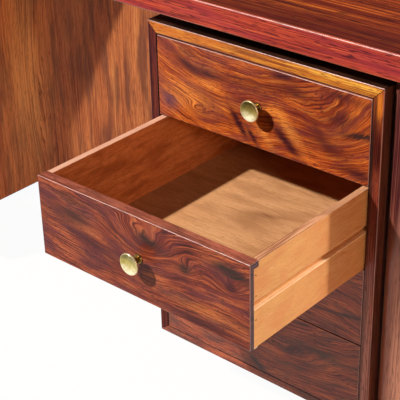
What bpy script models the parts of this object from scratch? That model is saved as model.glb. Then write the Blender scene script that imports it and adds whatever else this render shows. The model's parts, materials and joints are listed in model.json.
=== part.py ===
"""Executive desk: a floating top on four turned legs, with a pedestal of four drawers at each end.

Units are metres. +Z is up, the floor is at Z = 0 and the drawers open towards -Y. X = 0 is the middle of
the desk's length, and Y = 0 is the middle of its depth with the second right-hand drawer standing open.
"""

import math

import bmesh
import bpy

# Top and overall sizes
DESK_HEIGHT = 0.745
TOP_LENGTH = 1.540
TOP_DEPTH = 0.750
TOP_THICKNESS = 0.038
TOP_EDGE_ROUND = 0.0025
TOP_OVERHANG = 0.012  # past the pedestals, front and back
TOP_GAP = 0.020  # open shadow gap between the top and the pedestals

# Pedestals: mitred boxes
PEDESTAL_WIDTH = 0.430
PEDESTAL_HEIGHT = 0.570
SIDE_BOARD = 0.018
TOP_BOARD = 0.018
BOTTOM_BOARD = 0.0145
BACK_PANEL = 0.009
BACK_INSET = 0.004
BOARD_ROUND = 0.0012

# Turned legs, beside the outer face of each pedestal
LEG_DIAMETER = 0.045
LEG_FOOT_ROUND = 0.002
LEG_STANDOFF = 0.0008  # between the leg and the pedestal
LEG_END_MARGIN = 0.0042  # top past the leg at the desk's end
LEG_FRONT_MARGIN = 0.0215  # top past the leg at the front and the back
LEG_TENON_DIAMETER = 0.020
LEG_TENON_LENGTH = 0.016
LEG_DOWEL_DIAMETER = 0.010
LEG_DOWEL_DEPTH = 0.010  # into the pedestal's side
LEG_DOWEL_FROM_EDGE = 0.070  # from the pedestal's top and bottom

# Battens that carry the top on the pedestals
SPACER_WIDTH = 0.050
SPACER_FROM_SIDE = 0.050
SPACER_FROM_FRONT = 0.110  # also from the back

# Drawers
DRAWERS = 4
OPEN_DRAWER = 2  # in the right pedestal, counted from the top
OPEN_BY = 0.259
FRONT_THICKNESS = 0.018
FRONT_GAP = 0.0025  # above, between and below the fronts
FRONT_SIDE_GAP = 0.001
FRONT_ROUND = 0.0012
FRONT_LIP = 0.0075  # wood left in front of the sides' rebates
FRONT_BAND = 0.009  # solid top edge, which the rebates stop under
DRAWER_BACK_SPACE = 0.093  # between a closed drawer and the pedestal's back panel
SIDE_THICKNESS = 0.011
SIDE_INSET = 0.001  # of the sides' outer faces from the front's ends
SIDE_DROP = 0.001  # of the sides' top edges from the front's
BACK_THICKNESS = 0.011
BACK_DROP = 0.010  # of the back's top edge from the sides'
BACK_FROM_END = 0.006
BACK_TONGUE = 0.004  # of a one-piece box's back, into its sides
FLOOR_THICKNESS = 0.005
FLOOR_HEIGHT = 0.0095  # of the floor's underside above the sides' lower edges
FLOOR_GROOVE = 0.005
FLOOR_END_CLEARANCE = 0.001

# Wooden runners on the pedestals' sides, in grooves along the drawers' sides
GROOVE_HEIGHT = 0.0115
GROOVE_DEPTH = 0.006
RUNNER_HOUSING = 0.004  # let into the pedestal's side
RUNNER_BACK_MARGIN = 0.021  # of the runner's end from a closed drawer's end
RUNNER_END_CLEARANCE = 0.001

# Brass knobs
KNOB_DIAMETER = 0.033
KNOB_REACH = 0.020  # from the drawer's face to the rim
KNOB_RIM = 0.0022  # width of the rim, and height of its straight edge
KNOB_DISH = 0.0028
KNOB_NECK_DIAMETER = 0.0095
KNOB_BASE_DIAMETER = 0.015
KNOB_BASE_HEIGHT = 0.002
KNOB_SHANK_DIAMETER = 0.004
KNOB_SHANK_COVER = 0.006  # wood left behind the shank's end

# Fits
SEAT = 0.0003  # between pieces that rest on each other
SLIDE_FIT = 0.0005  # between a runner and its groove
MITRE_FIT = 0.0002  # of each board at a mitre
CUT_OVERRUN = 0.010  # of a cutter past the face that it opens
ROUND_SEGMENTS = 24
DOWEL_SEGMENTS = 12

# Places that follow from the sizes
PEDESTAL_DEPTH = TOP_DEPTH - 2 * TOP_OVERHANG
LEG_RADIUS = LEG_DIAMETER / 2
TOP_UNDERSIDE = DESK_HEIGHT - TOP_THICKNESS
PEDESTAL_TOP = TOP_UNDERSIDE - TOP_GAP
END_OVERHANG = LEG_STANDOFF + LEG_DIAMETER + LEG_END_MARGIN
PEDESTAL_X = TOP_LENGTH / 2 - END_OVERHANG - PEDESTAL_WIDTH / 2
LEG_X = PEDESTAL_WIDTH / 2 + LEG_STANDOFF + LEG_RADIUS  # from the pedestal's middle
LEG_FROM_FRONT = LEG_RADIUS + LEG_FRONT_MARGIN - TOP_OVERHANG
DRAWER_DEPTH = PEDESTAL_DEPTH - BACK_INSET - BACK_PANEL - DRAWER_BACK_SPACE
KNOB_SHANK_LENGTH = FRONT_THICKNESS - KNOB_SHANK_COVER
KNOB_FRONT = OPEN_BY + KNOB_REACH  # the open drawer's knob, in front of the pedestals
PEDESTAL_FRONT = (KNOB_FRONT - TOP_DEPTH + TOP_OVERHANG) / 2

FRONT_WIDTH = PEDESTAL_WIDTH - 2 * (SIDE_BOARD + FRONT_SIDE_GAP)
ROW_SPACE = PEDESTAL_HEIGHT - TOP_BOARD - BOTTOM_BOARD - FRONT_GAP
ROW_PITCH = ROW_SPACE / DRAWERS
FRONT_HEIGHT = ROW_PITCH - FRONT_GAP
HALF_WIDTH = FRONT_WIDTH / 2
HALF_HEIGHT = FRONT_HEIGHT / 2
SIDE_OUTER = HALF_WIDTH - SIDE_INSET
SIDE_INNER = SIDE_OUTER - SIDE_THICKNESS
SIDE_TOP = HALF_HEIGHT - SIDE_DROP
FLOOR_BOTTOM = FLOOR_HEIGHT - HALF_HEIGHT
FLOOR_TOP = FLOOR_BOTTOM + FLOOR_THICKNESS
RUNNER_FRONT = FRONT_LIP + SEAT + RUNNER_END_CLEARANCE
RUNNER_BACK = DRAWER_DEPTH - RUNNER_BACK_MARGIN
HANDS = (("left", -1), ("right", 1))
ENDS = (("front", 0), ("back", 1))


def row_height(row):
    """Height of the middle of a drawer's front, from the pedestal's top."""
    return -(TOP_BOARD + FRONT_GAP + HALF_HEIGHT + (row - 1) * ROW_PITCH)


def clear_scene():
    for thing in list(bpy.data.objects):
        bpy.data.objects.remove(thing, do_unlink=True)


def finish(name, colour, roughness, metallic=0.0):
    """A plain material in linear colour."""
    material = bpy.data.materials.new(name)
    material.use_nodes = True
    shader = material.node_tree.nodes["Principled BSDF"]
    shader.inputs["Base Color"].default_value = (*colour, 1.0)
    shader.inputs["Roughness"].default_value = roughness
    shader.inputs["Metallic"].default_value = metallic
    material.diffuse_color = (*colour, 1.0)
    return material


def frame_point(name, place, parent=None):
    """An empty that carries a pedestal's or a drawer's pieces."""
    empty = bpy.data.objects.new(name, None)
    empty.location = place
    empty.parent = parent
    bpy.context.collection.objects.link(empty)
    return empty


def add_object(name, mesh, material=None, parent=None):
    piece = bpy.data.objects.new(name, mesh)
    piece.parent = parent
    if material:
        mesh.materials.append(material)
    bpy.context.collection.objects.link(piece)
    return piece


def mesh_of(name, shape):
    """A closed mesh from a bmesh, with its faces pointing out."""
    bmesh.ops.recalc_face_normals(shape, faces=shape.faces[:])
    mesh = bpy.data.meshes.new(name)
    shape.to_mesh(mesh)
    shape.free()
    return mesh


def add_box(shape, low, high):
    """One box between two corners, added to a bmesh."""
    corners = bmesh.ops.create_cube(shape, size=1.0)["verts"]
    for corner in corners:
        corner.co = [low[i] if corner.co[i] < 0 else high[i] for i in range(3)]


def boxes(name, corners, material=None, parent=None):
    """An object of one box for each pair of corners."""
    shape = bmesh.new()
    for low, high in corners:
        add_box(shape, low, high)
    return add_object(name, mesh_of(name, shape), material, parent)


def prism(name, outline, axis, low, high, material=None, parent=None):
    """An outline in the plane across an axis (0, 1 or 2), extruded along that axis."""
    shape = bmesh.new()
    corners = []
    for point in outline:
        place = list(point)
        place.insert(axis, low)
        corners.append(shape.verts.new(place))
    face = shape.faces.new(corners)
    grown = bmesh.ops.extrude_face_region(shape, geom=[face])["geom"]
    for corner in grown:
        if isinstance(corner, bmesh.types.BMVert):
            corner.co[axis] = high
    return add_object(name, mesh_of(name, shape), material, parent)


def turned(name, profile, segments, material=None, parent=None):
    """A profile of (radius, height) points, from pole to pole, turned about Z."""
    shape = bmesh.new()
    points = [shape.verts.new((radius, 0.0, height)) for radius, height in profile]
    edges = [shape.edges.new(pair) for pair in zip(points, points[1:])]
    bmesh.ops.spin(shape, geom=points + edges, cent=(0, 0, 0), axis=(0, 0, 1), angle=2 * math.pi,
                   steps=segments, use_merge=True)
    bmesh.ops.remove_doubles(shape, verts=shape.verts[:], dist=1e-6)
    mesh = mesh_of(name, shape)
    mesh.shade_smooth()
    mesh.set_sharp_from_angle(angle=math.radians(40))
    return add_object(name, mesh, material, parent)


def rod(name, diameter, low, high, segments, parent=None):
    """A round rod along Z between two heights."""
    radius = diameter / 2
    profile = [(0, high), (radius, high), (radius, low), (0, low)]
    return turned(name, profile, segments, parent=parent)


def hide(tool):
    tool.hide_render = True
    tool.display_type = "WIRE"


def combine(piece, tool, operation):
    """A cut or a union with a tool object, which is hidden."""
    change = piece.modifiers.new(tool.name, "BOOLEAN")
    change.operation = operation
    change.solver = "EXACT"
    change.object = tool
    hide(tool)


def round_edges(piece, width):
    bevel = piece.modifiers.new("rounded arrises", "BEVEL")
    bevel.width = width
    bevel.segments = 2
    bevel.limit_method = "ANGLE"
    bevel.angle_limit = math.radians(40)


def dowel_places():
    """Heights of a leg's dowels, from the pedestal's top."""
    return (-LEG_DOWEL_FROM_EDGE, LEG_DOWEL_FROM_EDGE - PEDESTAL_HEIGHT)


def leg_depth(end):
    """Distance of a leg's axis behind the pedestal's front, at the front (0) or at the back (1)."""
    return PEDESTAL_DEPTH - LEG_FROM_FRONT if end else LEG_FROM_FRONT


def make_top(material):
    low = (-TOP_LENGTH / 2, PEDESTAL_FRONT - TOP_OVERHANG, TOP_UNDERSIDE)
    high = (TOP_LENGTH / 2, low[1] + TOP_DEPTH, DESK_HEIGHT)
    top = boxes("desk_top", [(low, high)], material)
    round_edges(top, TOP_EDGE_ROUND)
    for hand, side in HANDS:
        for place, end in ENDS:
            hole = rod(f"{place}_{hand}_tenon_hole", LEG_TENON_DIAMETER + 2 * SEAT,
                       -CUT_OVERRUN, LEG_TENON_LENGTH + SEAT, ROUND_SEGMENTS)
            hole.location = (side * (PEDESTAL_X + LEG_X), PEDESTAL_FRONT + leg_depth(end), TOP_UNDERSIDE)
            combine(top, hole, "DIFFERENCE")


def make_legs(material):
    """Straight legs, each with a tenon into the top and two dowels into its pedestal's outer side."""
    shoulder = TOP_UNDERSIDE - SEAT
    tenon = LEG_TENON_DIAMETER / 2
    profile = [
        (0, shoulder + LEG_TENON_LENGTH),
        (tenon, shoulder + LEG_TENON_LENGTH),
        (tenon, shoulder),
        (LEG_RADIUS, shoulder),
        (LEG_RADIUS, LEG_FOOT_ROUND),
        (LEG_RADIUS - LEG_FOOT_ROUND, 0),
        (0, 0),
    ]
    for hand, side in HANDS:
        for place, end in ENDS:
            leg = turned(f"{place}_{hand}_leg", profile, ROUND_SEGMENTS, material)
            leg.location = (side * (PEDESTAL_X + LEG_X), PEDESTAL_FRONT + leg_depth(end), 0)
            reach = LEG_RADIUS + LEG_STANDOFF + LEG_DOWEL_DEPTH
            for number, height in enumerate(dowel_places(), start=1):
                dowel = rod(f"{place}_{hand}_leg_dowel_{number}", LEG_DOWEL_DIAMETER, 0, reach,
                            DOWEL_SEGMENTS, parent=leg)
                dowel.location = (0, 0, PEDESTAL_TOP + height)
                dowel.rotation_euler = (0, -side * math.pi / 2, 0)
                combine(leg, dowel, "UNION")


def make_runners(name, side, parent):
    """The four runners of one pedestal side, as one tool object."""
    inner_face = PEDESTAL_WIDTH / 2 - SIDE_BOARD
    groove_floor = SIDE_OUTER - GROOVE_DEPTH
    across = sorted((side * (groove_floor + SLIDE_FIT), side * (inner_face + RUNNER_HOUSING)))
    half = GROOVE_HEIGHT / 2 - SLIDE_FIT
    corners = []
    for row in range(1, DRAWERS + 1):
        middle = row_height(row)
        low = (across[0], RUNNER_FRONT, middle - half)
        high = (across[1], RUNNER_BACK, middle + half)
        corners.append((low, high))
    return boxes(name, corners, parent=parent)


def make_pedestal(hand, outer, carcass, plain):
    """A mitred box with a back panel let in, its drawer runners, and two battens under the desk's top."""
    name = f"{hand}_pedestal"
    origin = frame_point(name, (outer * PEDESTAL_X, PEDESTAL_FRONT, PEDESTAL_TOP))
    half = PEDESTAL_WIDTH / 2
    inside = half - SIDE_BOARD
    underside = -PEDESTAL_HEIGHT
    floor = underside + BOTTOM_BOARD

    for part, side in (("inner_side", -outer), ("outer_side", outer)):
        outline = [
            (side * half, -MITRE_FIT),
            (side * half, underside + MITRE_FIT),
            (side * inside, floor + MITRE_FIT),
            (side * inside, -TOP_BOARD - MITRE_FIT),
        ]
        board = prism(f"{name}_{part}", outline, 1, 0, PEDESTAL_DEPTH, carcass, origin)
        round_edges(board, BOARD_ROUND)
        combine(board, make_runners(f"{name}_{part}_runners", side, origin), "UNION")
        if side == outer:
            for place, end in ENDS:
                for number, height in enumerate(dowel_places(), start=1):
                    hole = rod(f"{name}_{place}_dowel_hole_{number}", LEG_DOWEL_DIAMETER + 2 * SEAT,
                               -CUT_OVERRUN, LEG_DOWEL_DEPTH + SEAT, DOWEL_SEGMENTS, parent=origin)
                    hole.location = (side * half, leg_depth(end), height)
                    hole.rotation_euler = (0, -side * math.pi / 2, 0)
                    combine(board, hole, "DIFFERENCE")

    level_boards = (("top", 0, -TOP_BOARD), ("bottom", underside, floor))
    for part, outer_height, inner_height in level_boards:
        outline = [
            (MITRE_FIT - half, outer_height),
            (half - MITRE_FIT, outer_height),
            (inside - MITRE_FIT, inner_height),
            (MITRE_FIT - inside, inner_height),
        ]
        board = prism(f"{name}_{part}", outline, 1, 0, PEDESTAL_DEPTH, carcass, origin)
        round_edges(board, BOARD_ROUND)

    back_low = (SEAT - inside, PEDESTAL_DEPTH - BACK_INSET - BACK_PANEL, floor + SEAT)
    back_high = (inside - SEAT, PEDESTAL_DEPTH - BACK_INSET, -TOP_BOARD - SEAT)
    boxes(f"{name}_back", [(back_low, back_high)], carcass, origin)

    for place, end in ENDS:
        start = PEDESTAL_DEPTH - SPACER_FROM_FRONT - SPACER_WIDTH if end else SPACER_FROM_FRONT
        low = (SPACER_FROM_SIDE - half, start, SEAT)
        high = (half - SPACER_FROM_SIDE, start + SPACER_WIDTH, TOP_GAP - SEAT)
        boxes(f"{hand}_{place}_top_batten", [(low, high)], plain, origin)
    return origin


def make_front(name, material, origin):
    """A drawer's front: rebated for the sides under its solid top edge, grooved for the floor."""
    face_low = (-HALF_WIDTH, 0, -HALF_HEIGHT)
    face_high = (HALF_WIDTH, FRONT_THICKNESS, HALF_HEIGHT)
    front = boxes(f"{name}_front", [(face_low, face_high)], material, origin)
    round_edges(front, FRONT_ROUND)
    rebate = SIDE_INNER - SEAT
    low = -HALF_HEIGHT - CUT_OVERRUN
    high = HALF_HEIGHT - FRONT_BAND
    behind = FRONT_THICKNESS + CUT_OVERRUN
    past_end = HALF_WIDTH + CUT_OVERRUN
    rebates = boxes(f"{name}_front_rebates", [
        ((-past_end, FRONT_LIP, low), (-rebate, behind, high)),
        ((rebate, FRONT_LIP, low), (past_end, behind, high)),
    ], parent=origin)
    combine(front, rebates, "DIFFERENCE")
    groove = boxes(f"{name}_front_groove", [(
        (-past_end, FRONT_THICKNESS - FLOOR_GROOVE, FLOOR_BOTTOM - SEAT),
        (past_end, behind, FLOOR_TOP + SEAT),
    )], parent=origin)
    combine(front, groove, "DIFFERENCE")
    bore = rod(f"{name}_front_bore", KNOB_SHANK_DIAMETER + 2 * SEAT, -KNOB_SHANK_LENGTH - SEAT, CUT_OVERRUN,
               ROUND_SEGMENTS, parent=origin)
    bore.rotation_euler = (math.pi / 2, 0, 0)
    combine(front, bore, "DIFFERENCE")


def make_side(name, side, material, origin):
    """A drawer's side, notched under the front's top edge and grooved for the runner and the floor."""
    start = FRONT_LIP + SEAT
    shoulder = FRONT_THICKNESS + SEAT
    under_band = HALF_HEIGHT - FRONT_BAND - SEAT
    outline = [
        (start, -HALF_HEIGHT),
        (DRAWER_DEPTH, -HALF_HEIGHT),
        (DRAWER_DEPTH, SIDE_TOP),
        (shoulder, SIDE_TOP),
        (shoulder, under_band),
        (start, under_band),
    ]
    across = sorted((side * SIDE_INNER, side * SIDE_OUTER))
    board = prism(name, outline, 0, *across, material, origin)
    ends = (start - CUT_OVERRUN, DRAWER_DEPTH + CUT_OVERRUN)
    runner_across = sorted((side * (SIDE_OUTER - GROOVE_DEPTH), side * (SIDE_OUTER + CUT_OVERRUN)))
    floor_across = sorted((side * (SIDE_INNER - CUT_OVERRUN), side * (SIDE_INNER + FLOOR_GROOVE)))
    grooves = boxes(f"{name}_grooves", [
        ((runner_across[0], ends[0], -GROOVE_HEIGHT / 2), (runner_across[1], ends[1], GROOVE_HEIGHT / 2)),
        ((floor_across[0], ends[0], FLOOR_BOTTOM - SEAT), (floor_across[1], ends[1], FLOOR_TOP + SEAT)),
    ], parent=origin)
    combine(board, grooves, "DIFFERENCE")
    return board


def make_back(name, half_width, material, origin):
    end = DRAWER_DEPTH - BACK_FROM_END
    low = (-half_width, end - BACK_THICKNESS, FLOOR_TOP + SEAT)
    high = (half_width, end, SIDE_TOP - BACK_DROP)
    return boxes(name, [(low, high)], material, origin)


def make_floor(name, material, origin):
    half = SIDE_INNER + FLOOR_GROOVE - SEAT
    low = (-half, FRONT_THICKNESS - FLOOR_GROOVE + SEAT, FLOOR_BOTTOM)
    high = (half, DRAWER_DEPTH - FLOOR_END_CLEARANCE, FLOOR_TOP)
    boxes(name, [(low, high)], material, origin)


def make_knob(name, material, origin):
    """A dished brass knob on a waisted neck, with its screw shank let into the drawer's front."""
    rim = KNOB_DIAMETER / 2
    neck = KNOB_NECK_DIAMETER / 2
    base = KNOB_BASE_DIAMETER / 2
    shank = KNOB_SHANK_DIAMETER / 2
    lip = rim - KNOB_RIM
    shoulder = KNOB_REACH - KNOB_RIM
    waist = (KNOB_BASE_HEIGHT + shoulder) / 2
    dish = [(lip * part, KNOB_REACH - KNOB_DISH * (1 - part**2)) for part in (0, 1 / 3, 2 / 3, 1)]
    profile = dish + [
        (rim - KNOB_RIM / 4, KNOB_REACH),
        (rim, KNOB_REACH - KNOB_RIM / 4),
        (rim, shoulder),
        ((rim + neck) / 2, (shoulder + waist) / 2),
        (neck, waist),
        (neck, KNOB_BASE_HEIGHT),
        (base, KNOB_BASE_HEIGHT),
        (base, SEAT),
        (shank, SEAT),
        (shank, -KNOB_SHANK_LENGTH),
        (0, -KNOB_SHANK_LENGTH),
    ]
    knob = turned(name, profile, ROUND_SEGMENTS, material, origin)
    knob.rotation_euler = (math.pi / 2, 0, 0)


def make_drawer(name, place, pedestal, one_piece_box, woods):
    """A drawer about the middle of its front's face, where its sliding axis runs."""
    origin = frame_point(name, place, pedestal)
    make_front(name, woods["figured"], origin)
    make_floor(f"{name}_floor", woods["ply"], origin)
    make_knob(f"{name}_knob", woods["brass"], origin)
    sides = [make_side(f"{name}_{hand}_side", side, woods["drawer"], origin) for hand, side in HANDS]
    if one_piece_box:
        box = make_back(f"{name}_box", SIDE_INNER + BACK_TONGUE, woods["drawer"], origin)
        for side in sides:
            combine(box, side, "UNION")
    else:
        make_back(f"{name}_back", SIDE_INNER - SEAT, woods["drawer"], origin)


def make_desk():
    clear_scene()
    woods = {
        "top": finish("rosewood_top", (0.085, 0.024, 0.014), 0.30),
        "carcass": finish("rosewood_carcass", (0.200, 0.068, 0.026), 0.32),
        "figured": finish("rosewood_figured", (0.300, 0.070, 0.020), 0.28),
        "leg": finish("rosewood_solid", (0.160, 0.045, 0.022), 0.30),
        "drawer": finish("drawer_wood", (0.610, 0.300, 0.110), 0.50),
        "ply": finish("drawer_floor_ply", (0.560, 0.290, 0.130), 0.55),
        "batten": finish("batten_wood", (0.060, 0.030, 0.018), 0.70),
        "brass": finish("brass", (0.720, 0.540, 0.220), 0.22, 1.0),
    }
    make_top(woods["top"])
    make_legs(woods["leg"])
    for hand, outer in HANDS:
        pedestal = make_pedestal(hand, outer, woods["carcass"], woods["batten"])
        for row in range(1, DRAWERS + 1):
            pulled = OPEN_BY if hand == "right" and row == OPEN_DRAWER else 0
            place = (0, -pulled, row_height(row))
            make_drawer(f"{hand}_drawer_{row}", place, pedestal, hand == "left", woods)


make_desk()
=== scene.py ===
"""The looks of an executive desk in lacquered rosewood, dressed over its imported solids."""

import json
import math

import bmesh
import bpy
from mathutils import Matrix, Vector

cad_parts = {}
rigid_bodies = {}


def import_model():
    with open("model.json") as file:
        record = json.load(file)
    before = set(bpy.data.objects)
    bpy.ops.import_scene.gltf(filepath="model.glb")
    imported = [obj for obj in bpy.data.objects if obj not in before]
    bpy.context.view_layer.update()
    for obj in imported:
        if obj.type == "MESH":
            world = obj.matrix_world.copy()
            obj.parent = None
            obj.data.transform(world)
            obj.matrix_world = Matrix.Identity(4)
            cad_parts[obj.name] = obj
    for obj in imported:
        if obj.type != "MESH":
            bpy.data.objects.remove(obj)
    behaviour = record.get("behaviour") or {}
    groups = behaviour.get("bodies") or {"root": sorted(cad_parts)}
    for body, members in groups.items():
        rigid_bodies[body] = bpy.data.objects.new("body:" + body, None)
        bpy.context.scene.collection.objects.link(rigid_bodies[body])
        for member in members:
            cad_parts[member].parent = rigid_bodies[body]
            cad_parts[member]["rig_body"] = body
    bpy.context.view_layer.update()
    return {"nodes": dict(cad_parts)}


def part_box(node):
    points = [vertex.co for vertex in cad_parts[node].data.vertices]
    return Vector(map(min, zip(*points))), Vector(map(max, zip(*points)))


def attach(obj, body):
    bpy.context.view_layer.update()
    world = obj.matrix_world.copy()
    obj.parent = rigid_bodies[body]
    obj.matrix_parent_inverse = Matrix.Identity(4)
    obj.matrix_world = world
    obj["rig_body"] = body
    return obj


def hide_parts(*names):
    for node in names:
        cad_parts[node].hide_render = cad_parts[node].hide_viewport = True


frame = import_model()
for leftover in [thing for thing in bpy.data.objects if thing.type in {"CAMERA", "LIGHT"}]:
    bpy.data.objects.remove(leftover)

# Legs: four straight rosewood posts turned on a lathe, with eased shoulders and a small round at the foot.
# A tenon goes up into the desk's top, and two dowels hold each leg to the outer face of its pedestal.
LEG_RADIUS = 0.0225
LEG_SIDES = 96
LEG_RINGS = 24
LEG_GAP = 0.0003  # below the desk's top
FOOT_ROUND = 0.002
FOOT_STEPS = 3
SHOULDER_EASE = 0.0008
TENON_RADIUS = 0.010
TENON_LENGTH = 0.016
DOWEL_RADIUS = 0.005
DOWEL_REACH = 0.0333  # from the leg's axis
DOWEL_HEIGHTS = (0.617, 0.187)
DOWEL_SIDES = 24
ALONG_X = (0, math.pi / 2, 0)  # how an upright rod is turned
ALONG_Y = (math.pi / 2, 0, 0)
UPRIGHT = (0, 0, 0)
SMOOTH_ANGLE = math.radians(50)


def turn(name, profile, sides):
    """A piece turned about Z from (radius, height) points, drawn up ring by ring from a circle."""
    bpy.ops.object.select_all(action="DESELECT")
    radius, height = profile[0]
    bpy.ops.mesh.primitive_circle_add(vertices=sides, radius=radius, fill_type="NGON",
                                      location=(0, 0, height))
    piece = bpy.context.object
    piece.name = piece.data.name = name
    bpy.ops.object.transform_apply(location=True, rotation=True, scale=True)
    bpy.ops.object.mode_set(mode="EDIT")
    for next_radius, next_height in profile[1:]:
        bpy.ops.mesh.extrude_region_move(TRANSFORM_OT_translate={"value": (0, 0, next_height - height)})
        grow = next_radius / radius
        bpy.ops.transform.resize(value=(grow, grow, 1), center_override=(0, 0, next_height))
        radius, height = next_radius, next_height
    bpy.ops.mesh.select_all(action="SELECT")
    bpy.ops.mesh.normals_make_consistent(inside=False)
    bpy.ops.object.mode_set(mode="OBJECT")
    return piece


def rod(radius, length, middle, turned, sides):
    """A round rod, to be joined to a piece or to cut a hole in it."""
    bpy.ops.object.select_all(action="DESELECT")
    bpy.ops.mesh.primitive_cylinder_add(vertices=sides, radius=radius, depth=length, location=middle,
                                        rotation=turned)
    return bpy.context.object


def make_active(piece):
    bpy.ops.object.select_all(action="DESELECT")
    piece.select_set(True)
    bpy.context.view_layer.objects.active = piece


def apply_boolean(piece, tool, operation):
    """Joins a tool to a piece, or cuts the piece with it, and removes the tool."""
    change = piece.modifiers.new(tool.name, "BOOLEAN")
    change.operation = operation
    change.solver = "EXACT"
    change.object = tool
    make_active(piece)
    bpy.ops.object.modifier_apply(modifier=change.name)
    bpy.data.objects.remove(tool)


def copy_of(piece, name, place, turned=0.0):
    """A copy with its own mesh, turned about Z and moved within that mesh."""
    copy = piece.copy()
    copy.data = piece.data.copy()
    copy.name = copy.data.name = name
    copy.data.transform(Matrix.Translation(place) @ Matrix.Rotation(turned, 4, "Z"))
    bpy.context.scene.collection.objects.link(copy)
    return copy


def seat(piece, node):
    """The finished piece is smoothed, takes its solid's place and rides on that solid's body."""
    make_active(piece)
    bpy.ops.object.shade_smooth_by_angle(angle=SMOOTH_ANGLE)
    evened = piece.modifiers.new("flat faces stay flat", "WEIGHTED_NORMAL")
    evened.keep_sharp = True
    bpy.ops.object.modifier_apply(modifier=evened.name)
    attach(piece, frame["nodes"][node]["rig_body"])
    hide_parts(node)


def linear(hex_colour):
    """An sRGB hex colour as linear red, green, blue and alpha."""
    shares = [int(hex_colour[i:i + 2], 16) / 255 for i in (1, 3, 5)]
    return [c / 12.92 if c <= 0.04045 else ((c + 0.055) / 1.055) ** 2.4 for c in shares] + [1.0]


def set_sockets(tree, node, inputs):
    """Sets a node's sockets to values, or links them to sockets or to other nodes' first open outputs."""
    for socket, value in inputs.items():
        if isinstance(value, bpy.types.Node):
            value = next(output for output in value.outputs if output.enabled)
        if isinstance(value, bpy.types.NodeSocket):
            tree.links.new(value, node.inputs[socket])
        else:
            node.inputs[socket].default_value = value


def add_node(tree, kind, inputs, **settings):
    """A new node with its settings, values and links."""
    node = tree.nodes.new(kind)
    for setting, value in settings.items():
        setattr(node, setting, value)
    set_sockets(tree, node, inputs)
    return node


def new_material(name):
    """A material, its node tree and its shader."""
    material = bpy.data.materials.new(name)
    material.use_nodes = True
    return material, material.node_tree, material.node_tree.nodes["Principled BSDF"]


MM = 1000  # in a metre
FIRST_TONE = 0.16  # where the tones lie between the darkest line and the palest
TONE_SPAN = 0.68
BAND_SHARE = 0.35  # of the contrast between the broad bands
VEIN_SHARE = 0.5
PORE_SHARE = 0.7
FRAY = 16.0  # mm by which a mark's edge strays with the bands
HATCHING = 3.4  # how far the fine lines break a mark up
PORE_DULLING = 0.18  # roughness that pores and bands add
BAND_DULLING = 0.06
PORE_DEPTH = 0.00012
LACQUER_IOR = 1.5


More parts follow.
